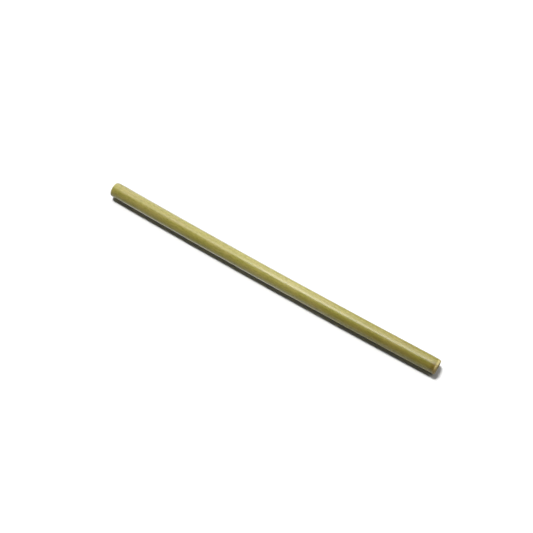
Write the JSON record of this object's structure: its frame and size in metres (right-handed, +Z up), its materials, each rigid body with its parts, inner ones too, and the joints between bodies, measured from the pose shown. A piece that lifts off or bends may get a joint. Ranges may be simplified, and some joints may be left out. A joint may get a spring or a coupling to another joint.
{
  "type": "bamboo drinking straw",
  "caption": "Slender hollow bamboo straw with a slight natural bow, an open bore from end to end, and sanded, rounded mouths.",
  "frame": {"origin": "centre of the straw's footprint on the surface it lies on", "axes": "+X along the straw, +Z up; the natural bow lies flat, with its middle towards -Y and both mouths towards +Y"},
  "size_m": [0.2, 0.0093, 0.0085],
  "materials": {
    "bamboo": "semi-gloss olive-green bamboo skin with fine lengthwise grain; bare cream end grain at the sanded mouths"
  },
  "bodies": {
    "root": {"bamboo_tube": "bamboo"}
  },
  "joints": []
}
